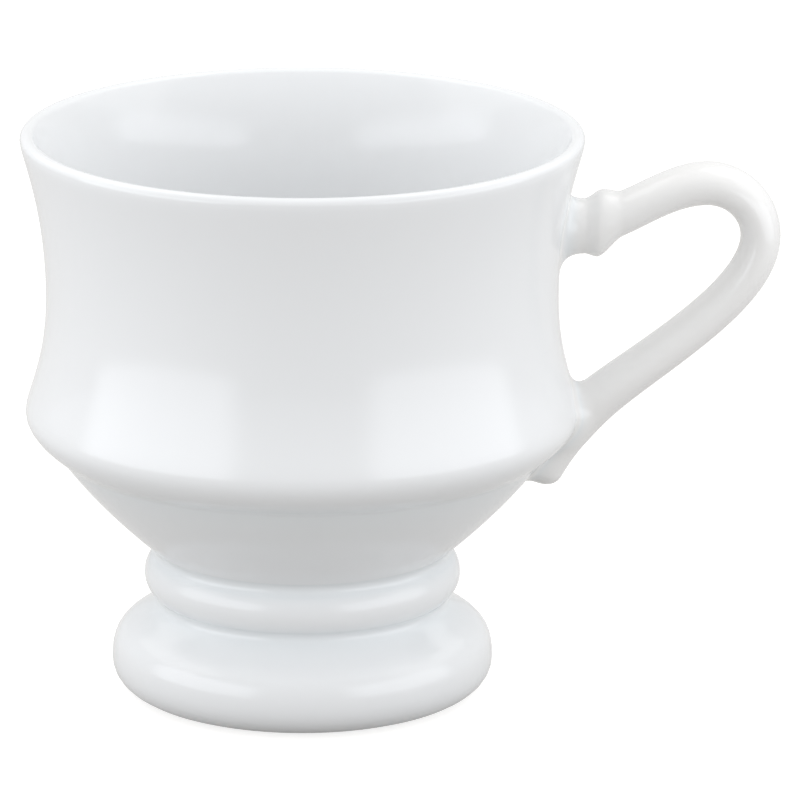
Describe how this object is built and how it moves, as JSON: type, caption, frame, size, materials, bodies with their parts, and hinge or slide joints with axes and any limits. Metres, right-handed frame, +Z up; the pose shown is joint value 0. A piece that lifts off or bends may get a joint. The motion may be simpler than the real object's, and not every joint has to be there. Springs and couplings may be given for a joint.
{
  "type": "footed coffee cup",
  "caption": "White glazed porcelain coffee cup with a rounded lip, drawn-in waist and stepped shoulder, on a beaded pedestal foot, with a looped side handle to lift it by.",
  "frame": {"origin": "on the surface that the cup stands on, under the middle of the overall box of bowl and handle", "axes": "+X from the bowl towards the handle, +Y away from the pictured front, +Z up along the turning axis"},
  "size_m": [0.108, 0.08, 0.0821],
  "materials": {
    "white_glaze": "glossy clear glaze on white porcelain",
    "fired_slip": "satin fired porcelain slip"
  },
  "bodies": {
    "root": {"cup_bowl": "white_glaze", "pedestal_foot": "white_glaze", "handle": "white_glaze", "foot_slip": "fired_slip", "handle_slip_upper": "fired_slip", "handle_slip_lower": "fired_slip"}
  },
  "joints": []
}
